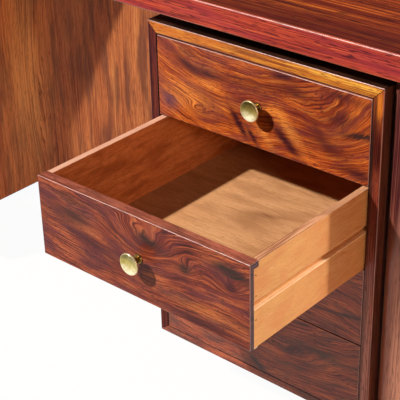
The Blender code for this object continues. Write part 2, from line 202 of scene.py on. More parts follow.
def rosewood(name, along, across, tones, vein, middle=(0, 0, 0), wander=10.0, bow=0.0, bow_at=0.0,
             eyes=(), marks=(), cast="#4a2a20", clouds=0.5, stretch=1.0, contrast=1.0, fine=1.1,
             roughness=0.26, gloss=0.3):
    """Lacquered rosewood, or with paler tones and less contrast the plainer woods of the drawers. The
    growth lines are the contours of a height over the board's face, in mm: a plain rise across the grain,
    bowed and wandering, with a mound for each eye that closes the lines into rings. Bands, fine lines and
    pores run along those contours, under clouds of another cast. Contrast is that of the bands, and fine
    says how far the fine lines share in it. Each mark is a soft spot: colour, place along and across the
    grain, half length, half width, tilt in degrees, strength."""
    depth = ({"X", "Y", "Z"} - {along, across}).pop()
    material, tree, shader = new_material(name)
    where = add_node(tree, "ShaderNodeTexCoord", {})
    in_mm = add_node(tree, "ShaderNodeMapping", {
        "Vector": where.outputs["Object"],
        "Location": [-MM * c for c in middle],
        "Scale": (MM, MM, MM),
    })
    axes = add_node(tree, "ShaderNodeSeparateXYZ", {"Vector": in_mm})
    run, rise, thick = axes.outputs[along], axes.outputs[across], axes.outputs[depth]

    def grain_noise(height, length, width, detail, seed=0.0):
        """Noise about zero, drawn out along the grain: length and width in mm."""
        spot = add_node(tree, "ShaderNodeCombineXYZ", {"X": run, "Y": height, "Z": thick})
        scaled = add_node(tree, "ShaderNodeMapping", {
            "Vector": spot,
            "Location": (seed, seed, seed),
            "Scale": (1 / (length * stretch), 1 / width, 1 / width),
        })
        noise = add_node(tree, "ShaderNodeTexNoise", {
            "Vector": scaled, "Scale": 1.0, "Detail": detail, "Roughness": 0.55,
        })
        return add_node(tree, "ShaderNodeMath", {0: noise, 1: 0.5}, operation="SUBTRACT")

    def spot_at(height, along_at, across_at, half_length, half_width, tilt):
        """A smooth spot, 1 in its middle, tilted from the grain."""
        flat = add_node(tree, "ShaderNodeCombineXYZ", {"X": run, "Y": height})
        local = add_node(tree, "ShaderNodeMapping", {
            "Vector": flat,
            "Location": (along_at, across_at, 0),
            "Rotation": (0, 0, math.radians(tilt)),
            "Scale": (half_length, half_width, 1),
        }, vector_type="TEXTURE")
        away = add_node(tree, "ShaderNodeVectorMath", {0: local, 1: local}, operation="DOT_PRODUCT")
        falling = add_node(tree, "ShaderNodeMath", {0: away, 1: -1.0}, operation="MULTIPLY")
        return add_node(tree, "ShaderNodeMath", {0: falling}, operation="EXPONENT")

    wiggle = grain_noise(rise, 26, 14, 1.0, 4.2)
    swell = grain_noise(rise, 150, 55, 2.0)
    lifts = [(wiggle, 0.2 * wander), (swell, 2 * wander)]
    if bow:
        from_bow = add_node(tree, "ShaderNodeMath", {0: run, 1: bow_at}, operation="SUBTRACT")
        bowed = add_node(tree, "ShaderNodeMath", {0: from_bow, 1: from_bow}, operation="MULTIPLY")
        lifts.append((bowed, -bow))
    for run_at, rise_at, run_radius, rise_radius, lift in eyes:
        lifts.append((spot_at(rise, run_at, rise_at, run_radius, rise_radius, 0), lift))
    height = rise
    for pattern, lift in lifts:
        height = add_node(tree, "ShaderNodeMath", {0: pattern, 1: lift, 2: height},
                          operation="MULTIPLY_ADD")

    # Growth lines are a third of a millimetre wide on the real wood, and drawn five times coarser to show
    broad = grain_noise(height, 110, 16, 3.0)
    bands = grain_noise(height, 120, 4.0, 2.0, 7.3)
    lines = grain_noise(height, 60, 1.6, 1.0, 3.1)
    tone = 0.5
    for pattern, share in ((broad, 1.0), (bands, BAND_SHARE), (lines, fine)):
        tone = add_node(tree, "ShaderNodeMath", {0: pattern, 1: share * contrast, 2: tone},
                        operation="MULTIPLY_ADD")
    coloured = add_node(tree, "ShaderNodeValToRGB", {"Fac": tone})
    stops = coloured.color_ramp.elements
    while len(stops) < len(tones):
        stops.new(0.5)
    for place, (stop, colour) in enumerate(zip(stops, tones)):
        stop.position = FIRST_TONE + TONE_SPAN * place / (len(tones) - 1)
        stop.color = linear(colour)

    cloudy = add_node(tree, "ShaderNodeMapRange", {
        "Value": grain_noise(height, 60, 22, 2.0, 17.9),
        "From Min": -0.08, "From Max": 0.16, "To Max": clouds,
    }, interpolation_type="SMOOTHSTEP")
    veined = add_node(tree, "ShaderNodeMapRange", {
        "Value": grain_noise(height, 105, 6.5, 2.0, 11.7),
        "From Min": 0.06, "From Max": 0.20, "To Max": VEIN_SHARE * contrast,
    }, interpolation_type="SMOOTHSTEP")
    # Pores are a fifth of a millimetre wide, and drawn seven times coarser
    pores = add_node(tree, "ShaderNodeMapRange", {
        "Value": grain_noise(height, 9, 1.4, 1.0, 5.9), "From Min": 0.05, "From Max": 0.18,
    }, interpolation_type="SMOOTHSTEP")
    layers = [(cloudy, cast), (veined, vein)]
    ragged = add_node(tree, "ShaderNodeMath", {0: bands, 1: FRAY, 2: rise}, operation="MULTIPLY_ADD")
    for colour, *place, strength in marks:
        hatch = add_node(tree, "ShaderNodeMath", {0: lines, 1: HATCHING * strength, 2: strength},
                         operation="MULTIPLY_ADD")
        spot = spot_at(ragged, *place)
        broken = add_node(tree, "ShaderNodeMath", {0: spot, 1: hatch}, operation="MULTIPLY")
        layers.append((broken, colour))
    filled = add_node(tree, "ShaderNodeMath", {0: pores, 1: PORE_SHARE * contrast}, operation="MULTIPLY")
    layers.append((filled, vein))
    for share, colour in layers:
        coloured = add_node(tree, "ShaderNodeMix", {0: share, 6: coloured, 7: linear(colour)},
                            data_type="RGBA")
    dulled = add_node(tree, "ShaderNodeMath", {
        0: pores, 1: PORE_DULLING, 2: roughness + BAND_DULLING / 2,
    }, operation="MULTIPLY_ADD")
    dulled = add_node(tree, "ShaderNodeMath", {0: bands, 1: BAND_DULLING, 2: dulled},
                      operation="MULTIPLY_ADD")
    dents = add_node(tree, "ShaderNodeBump", {"Height": pores, "Strength": 0.2, "Distance": -PORE_DEPTH})
    set_sockets(tree, shader, {
        "Base Color": coloured, "Roughness": dulled, "Normal": dents,
        "IOR": LACQUER_IOR, "Specular IOR Level": gloss,
    })
    return material


# Straight-grained solid rosewood, glossy from its lacquer: purple-brown with narrow dark lines, painted
# paler low down on the outside as painted light, and painted dark at the head as painted shade
turned_rosewood = rosewood("turned_rosewood", "Z", "X", ("#54281e", "#7c4334", "#9c5e48", "#b0745a"),
                           "#451d16", wander=5.0, cast="#8a5039", clouds=0.3, stretch=2.5, contrast=0.7,
                           marks=(("#ca927c", 200, 760, 260, 12, 0, 0.8),
                                  ("#ca927c", 200, -760, 260, 12, 0, 0.8),
                                  ("#3a1216", 600, 743, 170, 900, 0, 0.95),
                                  ("#3a1216", 600, -743, 170, 900, 0, 0.95)))

leg_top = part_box("desk_top")[0].z - LEG_GAP
leg_profile = []
for step in range(FOOT_STEPS + 1):
    angle = math.pi / 2 * step / FOOT_STEPS
    foot_radius = LEG_RADIUS - FOOT_ROUND * (1 - math.sin(angle))
    leg_profile.append((foot_radius, FOOT_ROUND * (1 - math.cos(angle))))
shaft = leg_top - FOOT_ROUND - SHOULDER_EASE
for ring in range(1, LEG_RINGS + 1):
    leg_profile.append((LEG_RADIUS, FOOT_ROUND + shaft * ring / LEG_RINGS))
leg_profile += [
    (LEG_RADIUS - SHOULDER_EASE, leg_top),
    (TENON_RADIUS, leg_top),
    (TENON_RADIUS, leg_top + TENON_LENGTH),
]
spindle = turn("spindle", leg_profile, LEG_SIDES)
for height in DOWEL_HEIGHTS:
    dowel = rod(DOWEL_RADIUS, DOWEL_REACH, (-DOWEL_REACH / 2, 0, height), ALONG_X, DOWEL_SIDES)
    apply_boolean(spindle, dowel, "UNION")
spindle.data.materials.append(turned_rosewood)
leg_axes = {}
for end in ("front", "back"):
    for hand, turned in (("left", math.pi), ("right", 0.0)):
        low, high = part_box(f"{end}_{hand}_leg")
        axis_x = high.x - LEG_RADIUS if hand == "right" else low.x + LEG_RADIUS
        leg_axes[end, hand] = Vector((axis_x, (low.y + high.y) / 2, 0))
        leg = copy_of(spindle, f"turned_leg_{end}_{hand}", leg_axes[end, hand], turned)
        seat(leg, f"{end}_{hand}_leg")
bpy.data.objects.remove(spindle)

# Pedestals: boxes of veneered board, mitred at their corners so that the front edges frame the drawers.
# Those edges are lipped with solid wood, pale on top and darker at the sides.
# Runners for the drawers are let into the sides.
SIDE_BOARD = 0.018
TOP_BOARD = 0.018
BOTTOM_BOARD = 0.0145
BOARD_EASE = 0.0012
MITRE_GAP = 0.0002
EASE_STEPS = 3
RUNNER_FROM_FRONT = 0.0088
RUNNER_LENGTH = 0.5902
RUNNER_REACH = 0.0075
RUNNER_SINK = 0.004
RUNNER_HALF = 0.00525
DOWEL_HOLE_RADIUS = 0.0053
DOWEL_HOLE_DEPTH = 0.0106
NEAR = 1e-5  # metres within which two places count as one
APART = 1e-4  # metres beyond which a face is no longer part of a flat
STRAIGHT = 0.999  # share of an edge's length that runs along its axis
FLAT = 0.985  # a face whose normal has less than this along every axis is an arris
FACING = 0.9  # a face looks along an axis if its normal has more than this of it
ASIDE = 0.1  # and past the axis if it has less than this
LEANING = 0.05  # the least lean that tells which way an arris looks


def board(name, low, high):
    """A board between two corners."""
    bpy.ops.object.select_all(action="DESELECT")
    low, high = Vector(low), Vector(high)
    bpy.ops.mesh.primitive_cube_add(size=1, location=(low + high) / 2, scale=high - low)
    piece = bpy.context.object
    piece.name = piece.data.name = name
    bpy.ops.object.transform_apply(location=True, rotation=True, scale=True)
    return piece


def pick(piece, kind, wanted):
    """Opens a piece for editing with only the wanted vertices, edges or faces selected."""
    make_active(piece)
    bpy.ops.object.mode_set(mode="EDIT")
    bpy.ops.mesh.select_mode(type={"verts": "VERT", "edges": "EDGE", "faces": "FACE"}[kind])
    bpy.ops.mesh.select_all(action="DESELECT")
    shape = bmesh.from_edit_mesh(piece.data)
    for element in getattr(shape, kind):
        if wanted(element):
            element.select_set(True)
    bmesh.update_edit_mesh(piece.data)


def near(a, b):
    return abs(a - b) < NEAR


def shift_corners(piece, wanted, move):
    """Moves the corners whose place is wanted, as for a mitre."""
    pick(piece, "verts", lambda corner: wanted(corner.co))
    bpy.ops.transform.translate(value=move)
    bpy.ops.object.mode_set(mode="OBJECT")


def ease(piece, wanted, width, steps=EASE_STEPS):
    """Rounds the wanted edges, as sandpaper does."""
    pick(piece, "edges", wanted)
    bpy.ops.mesh.bevel(offset=width, segments=steps, affect="EDGES")
    bpy.ops.object.mode_set(mode="OBJECT")


def edge_along(axis, test=lambda middle: True):
    """Tells an edge that runs along an axis (0, 1 or 2) and whose middle passes a test."""
    def wanted(edge):
        start, end = (corner.co for corner in edge.verts)
        run = end - start
        return abs(run[axis]) > STRAIGHT * run.length and test((start + end) / 2)
    return wanted


def arris(face):
    """Tells the narrow rounded faces between two flats."""
    return max(abs(c) for c in face.normal) < FLAT


def upright_arris(face):
    """Tells the arrises that stand upright."""
    return arris(face) and abs(face.normal.z) < ASIDE


def lay(piece, material, wanted):
    """Covers the wanted faces with another material."""
    piece.data.materials.append(material)
    pick(piece, "faces", wanted)
    piece.active_material_index = len(piece.data.materials) - 1
    bpy.ops.object.material_slot_assign()
    bpy.ops.object.mode_set(mode="OBJECT")


# Veneer with its grain upright: a golden arch in the middle of each kneehole side, and behind it a duller
# one and a golden streak. The arch and the streak are figure, painted brighter as painted light where the
# lamps reach
GOLD_AND_PAINTED_LIGHT = "#e09c5a"
upright_veneer = rosewood("upright_veneer", "Z", "Y", ("#7a3a1e", "#aa5c32", "#cc7b46", "#de9656"),
                          "#62291a", wander=11.0, eyes=((350, 12, 220, 30, 22),), cast="#66392a",
                          clouds=0.7, stretch=2.2, contrast=0.75, gloss=0.12,
                          marks=((GOLD_AND_PAINTED_LIGHT, 350, 5, 190, 52, 0, 0.9), ("#b87a50", 480, 125, 170, 50, 0, 0.35),
                                 (GOLD_AND_PAINTED_LIGHT, 300, 470, 260, 22, 0, 0.5)))
# The outer sides are painted darker than the rest of the rosewood, a painted shade
outer_veneer = rosewood("outer_veneer", "Z", "Y", ("#2a110b", "#482015", "#663425", "#7e4832"), "#1e0c09",
                        wander=5.0, stretch=2.0, contrast=0.8, gloss=0.15)
# The back panels are cut to show an arch of figure each, as the desk is meant to stand in a room
back_veneer = rosewood("back_veneer", "Z", "X", ("#3a160d", "#602a17", "#803f25", "#9a5834"), "#2c100b",
                       wander=8.0, eyes=((360, 505, 230, 60, 60), (360, -505, 230, 60, 60)),
                       cast="#4c2018", stretch=2.2, gloss=0.15)
# The carcass boards that lie flat carry the veneer with its grain along the desk, painted near-black as
# painted shade for the shadow gap
level_veneer = rosewood("level_veneer", "X", "Y", ("#180a07", "#26120a", "#341d10", "#422816"), "#140806",
                        gloss=0.08)
# Pale sapwood lipping: bright orange with a few red-brown lines
pale_lipping = rosewood("pale_lipping", "X", "Z", ("#7c3f16", "#b06a20", "#cc8a2c", "#dca442"), "#7a3414",
                        wander=4.0, cast="#b05a1c", clouds=0.8, stretch=2.0, contrast=1.4, gloss=0.2)
# Heartwood lipping: purple-brown at the kneehole, redder at the outer side with an orange flame at its head
dark_lipping = rosewood("dark_lipping", "Z", "X", ("#220b0d", "#3c1415", "#522017", "#682b1b"), "#18080b",
                        wander=4.0, cast="#4a1c22", stretch=2.0, gloss=0.06)
# The outer lipping is painted pinkish and paler low down, a painted sheen, and carries a dark strip painted
# along its inner edge beside the top drawer, a painted shade
red_lipping = rosewood("red_lipping", "Z", "X", ("#42130a", "#6c2415", "#8a3a22", "#a04e30"), "#300f0b",
                       wander=4.0, cast="#38130f", stretch=2.0, gloss=0.15,
                       marks=(("#c06a20", 660, 712, 20, 5, 0, 1.2), ("#300b08", 592, 708, 36, 90, 0, 1.0),
                              ("#a87266", 230, 711, 160, 6, 0, 0.9), ("#22140e", 590, 703, 110, 4, 0, 1.2),
                              ("#7a5850", 230, 703, 160, 5, 0, 0.7)))
# The bottom board's lipping matches the lowest fronts
dull_lipping = rosewood("dull_lipping", "X", "Z", ("#401712", "#6c2b1c", "#8e4226", "#a85a34"), "#2e1a14",
                        wander=4.0, cast="#503228", gloss=0.3)
# Edges that hands and dusters rub: the lacquer has thinned there to a paler wood with a bright polish.
# Their paler colour is also painted highlight, for the lines of light along the arrises
WORN_AND_HIGHLIGHT_TONES = ("#6a3a2c", "#834a38", "#985c46", "#a86c54")
worn_and_highlight_level = rosewood("worn_level_edge", "X", "Z", WORN_AND_HIGHLIGHT_TONES, "#5a2e24", wander=2.0, stretch=2.0,
                      contrast=0.6, roughness=0.36, gloss=1.0)
worn_and_highlight_upright = rosewood("worn_upright_edge", "Z", "X", WORN_AND_HIGHLIGHT_TONES, "#6a3a2c", wander=2.0, contrast=0.6,
                        roughness=0.3, gloss=0.5)
# Edges that lie close against each other are painted near-black, a painted shade for the gaps between them
grimed_edge = rosewood("grimed_edge", "Z", "X", ("#0c0606", "#140a09", "#1a0d0b", "#20110e"), "#0a0505",
                       gloss=0.05)
# Runners: planed beech, waxed so that the drawers slide on it
runner_beech = rosewood("runner_beech", "Y", "Z", ("#a87848", "#bb8c58", "#c89a66", "#d2a775"), "#9a6c40",
                        wander=3.0, cast="#b08050", contrast=0.5, roughness=0.45, gloss=0.3)

for hand, outward in (("left", -1), ("right", 1)):
    pedestal = f"{hand}_pedestal"
    top_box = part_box(f"{pedestal}_top")
    left, right = top_box[0].x - MITRE_GAP, top_box[1].x + MITRE_GAP
    for part, side in (("inner_side", -outward), ("outer_side", outward)):
        node = f"{pedestal}_{part}"
        low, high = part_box(node)
        face = left if side < 0 else right
        inner = face - side * SIDE_BOARD
        low.x, high.x = sorted((face, inner))
        piece = board(f"{node}_board", low, high)
        shift_corners(piece, lambda c: near(c.x, inner) and near(c.z, high.z), (0, 0, -TOP_BOARD))
        shift_corners(piece, lambda c: near(c.x, inner) and near(c.z, low.z), (0, 0, BOTTOM_BOARD))
        ease(piece, edge_along(2), BOARD_EASE)
        near_x, far_x = sorted((inner + side * RUNNER_SINK, inner - side * RUNNER_REACH))
        front_y = low.y + RUNNER_FROM_FRONT
        for row in (1, 2, 3, 4):
            row_low, row_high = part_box(f"{hand}_drawer_{row}_front")
            middle = (row_low.z + row_high.z) / 2
            runner = board("runner", (near_x, front_y, middle - RUNNER_HALF),
                           (far_x, front_y + RUNNER_LENGTH, middle + RUNNER_HALF))
            apply_boolean(piece, runner, "UNION")
        if part == "outer_side":
            for end in ("front", "back"):
                for height in DOWEL_HEIGHTS:
                    hole = rod(DOWEL_HOLE_RADIUS, 2 * DOWEL_HOLE_DEPTH,
                               (face, leg_axes[end, hand].y, height), ALONG_X, DOWEL_SIDES)
                    apply_boolean(piece, hole, "DIFFERENCE")
        piece.data.materials.append(upright_veneer if part == "inner_side" else outer_veneer)
        lay(piece, dark_lipping if part == "inner_side" else red_lipping, lambda f: f.normal.y < -FACING)
        lay(piece, worn_and_highlight_upright, lambda f: upright_arris(f) and f.normal.x * side > LEANING)
        lay(piece, grimed_edge, lambda f: upright_arris(f) and f.normal.x * side < -LEANING)
        lay(piece, runner_beech, lambda f: (f.calc_center_median().x - inner) * side < -APART)
        seat(piece, node)
    for part, inner_end in (("top", 0), ("bottom", 1)):
        node = f"{pedestal}_{part}"
        low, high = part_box(node)
        piece = board(f"{node}_board", low, high)
        inner_height = (low.z, high.z)[inner_end]
        for end, inward in ((low.x, SIDE_BOARD), (high.x, -SIDE_BOARD)):
            shift_corners(piece, lambda c: near(c.x, end) and near(c.z, inner_height), (inward, 0, 0))
        ease(piece, edge_along(0), BOARD_EASE)
        piece.data.materials.append(level_veneer)
        lay(piece, pale_lipping if part == "top" else dull_lipping, lambda f: f.normal.y < -FACING)
        if part == "top":
            lay(piece, worn_and_highlight_level, lambda f: arris(f) and abs(f.normal.x) < ASIDE)
        seat(piece, node)
    frame["nodes"][f"{pedestal}_back"].data.materials.clear()
    frame["nodes"][f"{pedestal}_back"].data.materials.append(back_veneer)

# Battens: softwood strips, screwed through the pedestals into the desk's top, which they hold
# clear. They stay as sawn, painted near-black as painted shade, back in the shadow gap.
stained_batten = rosewood("stained_batten", "X", "Y", ("#1d120c", "#2a1a11", "#342216", "#3c281b"),
                          "#160d09", contrast=0.6, roughness=0.6, gloss=0.2)
for hand in ("left", "right"):
    for end in ("front", "back"):
        batten = frame["nodes"][f"{hand}_{end}_top_batten"]
        batten.data.materials.clear()
        batten.data.materials.append(stained_batten)

# Desk top: one thick board, veneered with straight-grained rosewood and lipped in solid wood on all four
# edges. Its arrises are rounded, and polished bright by hands and sleeves. The legs' tenons end inside it.
TOP_EASE = 0.0025
TOP_EASE_STEPS = 4
MORTISE_RADIUS = 0.0103
MORTISE_DEPTH = 0.0163
MORTISE_SIDES = 48
# Dark heartwood veneer with orange lines along the desk
top_veneer = rosewood("top_veneer", "X", "Y", ("#360f0b", "#5c1f0f", "#803417", "#b25a1d"), "#2a0b0a",
                      wander=6.0, cast="#6e2612", stretch=4.0, contrast=1.5, roughness=0.5, gloss=0.05,
                      marks=(("#3c0f10", 700, -225, 600, 60, 0, 0.7),
                             ("#a8481a", 720, -20, 300, 60, 0, 0.4)))
# Solid lipping, redder than the veneer, with orange flames along it
top_lipping = rosewood("top_lipping", "X", "Z", ("#5a181a", "#84291f", "#a63c28", "#c0562e"), "#3c1018",
                       wander=4.0, cast="#8c2a30", clouds=0.7, stretch=2.5, contrast=1.2, gloss=0.12)
# The top's edges are rubbed too, less than the fronts'
top_edge = rosewood("top_edge", "X", "Z", ("#7a2a20", "#943c2a", "#a84c32", "#b85c3c"), "#5a1c1a",
                    wander=2.0, stretch=2.5, contrast=0.6, roughness=0.38, gloss=0.7)
top_low, top_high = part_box("desk_top")
slab = board("desk_top_slab", top_low, top_high)
ease(slab, lambda edge: True, TOP_EASE, TOP_EASE_STEPS)
for axis in leg_axes.values():
    mortise = rod(MORTISE_RADIUS, 2 * MORTISE_DEPTH, (axis.x, axis.y, top_low.z), UPRIGHT, MORTISE_SIDES)
    apply_boolean(slab, mortise, "DIFFERENCE")
slab.data.materials.append(top_veneer)
lay(slab, top_lipping, lambda f: abs(f.normal.z) < ASIDE)
lay(slab, top_edge, arris)
seat(slab, "desk_top")

# Drawer fronts: thick rosewood boards chosen for their swirling figure, each with a solid band along its
# top. They are rebated at the ends for the sides and grooved for the floor.
# They close flush in the pedestals.
FRONT_THICKNESS = 0.018
FRONT_EASE = 0.0009
FRONT_BAND = 0.009
FRONT_LIP = 0.0075
FRONT_SEAT = 0.0003
LOWEST_DROP = 0.0018  # the lowest fronts close down on the bottom boards
SIDE_OUTER = 0.195  # from the drawer's middle
SIDE_THICKNESS = 0.011
SIDE_INNER = SIDE_OUTER - SIDE_THICKNESS
FLOOR_GROOVE = 0.005
FLOOR_UNDER = 0.0095  # above the drawer's lower edge
FLOOR_THICKNESS = 0.005
SHANK_RADIUS = 0.0023
SHANK_BORE = 0.0123
SHANK_SIDES = 24
CUT = 0.010  # a cutter's reach past the face that it opens

front_low, front_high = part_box("right_drawer_1_front")
half_width = (front_high.x - front_low.x) / 2
half_height = (front_high.z - front_low.z) / 2
floor_low = FLOOR_UNDER - half_height
floor_high = floor_low + FLOOR_THICKNESS
drawer_front = board("drawer_front", (-half_width, 0, -half_height),
                     (half_width, FRONT_THICKNESS, half_height))
ease(drawer_front, lambda edge: True, FRONT_EASE)
for side in (-1, 1):
    near_x, far_x = sorted((side * (SIDE_INNER - FRONT_SEAT), side * (half_width + CUT)))
    rebate = board("rebate", (near_x, FRONT_LIP, -half_height - CUT),
                   (far_x, FRONT_THICKNESS + CUT, half_height - FRONT_BAND))
    apply_boolean(drawer_front, rebate, "DIFFERENCE")
groove = board("groove", (-half_width, FRONT_THICKNESS - FLOOR_GROOVE, floor_low - FRONT_SEAT),
               (half_width, FRONT_THICKNESS + CUT, floor_high + FRONT_SEAT))
apply_boolean(drawer_front, groove, "DIFFERENCE")
bore = rod(SHANK_RADIUS, 2 * SHANK_BORE, (0, 0, 0), ALONG_Y, SHANK_SIDES)
apply_boolean(drawer_front, bore, "DIFFERENCE")

# Solid edge of the fronts: brown heartwood, a little darker than the faces
front_edge = rosewood("front_edge", "X", "Y", ("#643024", "#864432", "#a05a44", "#b46c54"), "#522419",
                      wander=3.0, gloss=0.2)
# End grain, which drinks the lacquer and stays dark
end_grain = rosewood("end_grain", "Y", "Z", ("#2a1418", "#422224", "#56302f", "#6a3e3a"), "#1e0e12",
                     wander=3.0, gloss=0.25)
# Each figure is one cut of the wood: eyes where a branch grew, orange flames, and plum and peaty streaks
FIRE_TONES = ("#4e180f", "#8e3a18", "#b8591f", "#d47c32")
DUSK_TONES = ("#3c1410", "#6a291b", "#8e4226", "#aa5c36")
PLUM = "#2e1118"
PEAT = "#2c211a"
FLAME = "#d8853a"
FIGURES = {
    1: {"tones": FIRE_TONES, "vein": "#41161a", "cast": "#6a2c2c", "clouds": 0.6,
        "bow": 0.0012, "bow_at": -40.0, "gloss": 0.12,
        "eyes": ((132, 8, 62, 30, 32), (-119, -38, 22, 12, 14), (48, -70, 60, 40, -26)),
        "marks": ((FLAME, -128, -19, 54, 18, 0, 0.4), (FLAME, 58, -19, 30, 9, -45, 0.6),
                  (FLAME, 12, -40, 24, 7, -50, 0.5), (PLUM, -140, 36, 30, 10, -25, 0.7),
                  (PLUM, -90, 28, 46, 9, 0, 0.7), (PLUM, 44, 59, 26, 6, 0, 0.9),
                  (PLUM, -2, 31, 44, 9, 0, 0.5), (PLUM, 62, 42, 44, 9, -5, 0.6),
                  ("#5a3440", -175, -37, 17, 13, 0, 0.8), (PLUM, -35, -36, 26, 6, -52, 1.1),
                  (PLUM, -9, -50, 18, 5, -50, 1.0), (PLUM, 50, -37, 34, 8, -40, 1.1),
                  (PLUM, 108, -6, 26, 9, -50, 0.5), (PLUM, 128, -26, 40, 12, -20, 0.6),
                  (PLUM, 143, 21, 26, 13, 15, 0.8), (PEAT, 178, 5, 26, 4.5, 12, 1.3),
                  (PLUM, 150, 55, 46, 8, -5, 0.6), (PLUM, 180, -52, 30, 8, 0, 0.8),
                  ("#5a2420", 130, 0, 60, 40, 0, 0.3))},
    2: {"tones": DUSK_TONES, "vein": "#2e1a14", "cast": "#522229", "clouds": 0.7,
        "bow": 0.0002, "bow_at": 30.0, "gloss": 0.13,
        "eyes": ((9, 26, 56, 34, 44), (84, 18, 20, 12, 15), (165, 19, 26, 15, 20)),
        "marks": ((FLAME, 120, -36, 70, 10, -4, 0.2), (PEAT, 166, 42, 32, 8, -6, 1.1),
                  (PEAT, 22, 34, 26, 7, -12, 0.8), (PEAT, -130, 20, 40, 14, 0, 0.6),
                  (PLUM, 165, 19, 14, 7, 0, 0.8), (PEAT, 84, 18, 11, 8, 0, 0.9),
                  (PLUM, 9, 30, 16, 9, 0, 0.6), (PLUM, -90, -10, 50, 10, -10, 0.6),
                  (PLUM, 100, -58, 70, 7, 0, 0.7))},
    3: {"tones": DUSK_TONES, "vein": "#2e1a14", "cast": "#5c342a",
        "bow": -0.0003, "bow_at": 60.0, "gloss": 0.3,
        "eyes": ((-60, 10, 60, 22, 20),),
        "marks": ((PEAT, 160, -26, 46, 3, 8, 1.0), (PLUM, -20, -12, 60, 9, -8, 0.7))},
    4: {"tones": DUSK_TONES, "vein": "#2e1a14", "cast": "#503228",
        "bow": 0.0004, "bow_at": -90.0, "gloss": 0.3,
        "eyes": ((70, -8, 70, 24, 16),),
        "marks": ((PEAT, 0, -56, 22, 7, -35, 1.0), (PEAT, 110, 20, 60, 10, 0, 0.6),
                  (PLUM, -90, 10, 50, 8, 10, 0.7))},
}
drawers = {}
for hand, figure_of_row in (("right", (1, 2, 3, 4)), ("left", (3, 1, 4, 2))):
    for row, figure in enumerate(figure_of_row, start=1):
        drawer = f"{hand}_drawer_{row}"
        low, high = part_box(f"{drawer}_front")
        drawers[drawer] = Vector(((low.x + high.x) / 2, low.y, (low.z + high.z) / 2))
        front = copy_of(drawer_front, f"{drawer}_figured_front", drawers[drawer])
        if row == 4:
            shift_corners(front, lambda c: c.z < low.z + FRONT_EASE + NEAR, (0, 0, -LOWEST_DROP))
        front.data.materials.append(rosewood(f"{drawer}_figured_rosewood", "X", "Z", middle=drawers[drawer],
                                             wander=14.0, fine=1.6, **FIGURES[figure]))
        lay(front, front_edge, lambda f: f.normal.y > -ASIDE)
        lay(front, end_grain, lambda f: f.normal.x > FACING)
        # The fronts' left ends are painted near-black, a painted shade for the gap beside them
        lay(front, grimed_edge, lambda f: f.normal.x < -ASIDE)
        lay(front, worn_and_highlight_level, lambda f: arris(f) and f.normal.y < -LEANING and f.normal.x > -ASIDE)
        seat(front, f"{drawer}_front")
bpy.data.objects.remove(drawer_front)

# Drawer sides and backs: thin boards of a pale, straight-grained hardwood, sanded and waxed but not
# lacquered. The sides are grooved outside for the runners and inside for the floor.
# They are nailed to the front and the back.
GROOVE_HEIGHT = 0.0115
GROOVE_DEPTH = 0.006
GROOVE_EASE = 0.0013
DRAWER_DEPTH = 0.620
SIDE_DROP = 0.001
SIDE_EASE = 0.0010
BACK_THICKNESS = 0.011
BACK_FROM_END = 0.006
BACK_DROP = 0.010
BACK_TONGUE = 0.004
NAIL_RADIUS = 0.0011
NAIL_SINK = 0.0008
NAIL_HEIGHTS = (0.045, 0.014, -0.023)  # from the drawer's middle
NAIL_SIDES = 12
NAIL_HOLE = 1.1 * NAIL_RADIUS  # how far a hole's faces lie from the middle of its mouth
UPWARD = 0.3  # lean from which a rounded upper edge counts as the top

# A redder band across the drawer sides near the pedestals' fronts is painted shade, where the open drawer's
# side lies in the leg's shadow
drawer_hardwood = rosewood("drawer_hardwood", "Y", "Z", ("#b47a44", "#c88f55", "#d49e61", "#deac6e"),
                           "#a66c3c", wander=12.0, cast="#c98250", clouds=0.5, stretch=0.5, contrast=0.4,
                           roughness=0.5, gloss=0.15, marks=(("#a85a28", -270, 0, 75, 9000, 0, 0.45),))
# The left sides' upper edges are painted paler than the right sides', a painted light
bleached_edge = rosewood("bleached_edge", "Y", "X", ("#c18869", "#ce987a", "#d8a486", "#deae92"), "#b67c5d",
                         wander=3.0, cast="#c18a6e", contrast=0.4, roughness=0.5, gloss=0.15)
# The insides are painted redder than the outsides, a painted shade
waxed_inside = rosewood("waxed_inside", "Y", "Z", ("#ae5e2e", "#c8743e", "#d6844c", "#e09458"), "#964c26",
                        wander=6.0, cast="#904622", clouds=0.6, contrast=0.7, roughness=0.5, gloss=0.15)
# Groove lips and the groove's upward face are paler: rubbed by the runners, and painted light where the
# lips catch it
rubbed_lip = rosewood("rubbed_lip", "Y", "Z", ("#d8a26c", "#e8b884", "#f0c696", "#f6d2a6"), "#c08c58",
                      wander=2.0, cast="#e0ae7c", contrast=0.4, roughness=0.5, gloss=0.15)
# The right sides' upper edges are painted browner than the left sides', a painted shade, and browner still
# towards the front of the open drawer, also painted shade
handled_edge = rosewood("handled_edge", "Y", "X", ("#a87250", "#c08a62", "#d09a70", "#daa87e"), "#8c5a3e",
                        wander=3.0, cast="#b27a56", contrast=0.4, roughness=0.5, gloss=0.15,
                        marks=(("#7a4a30", -420, 0, 90, 9000, 0, 0.9),))

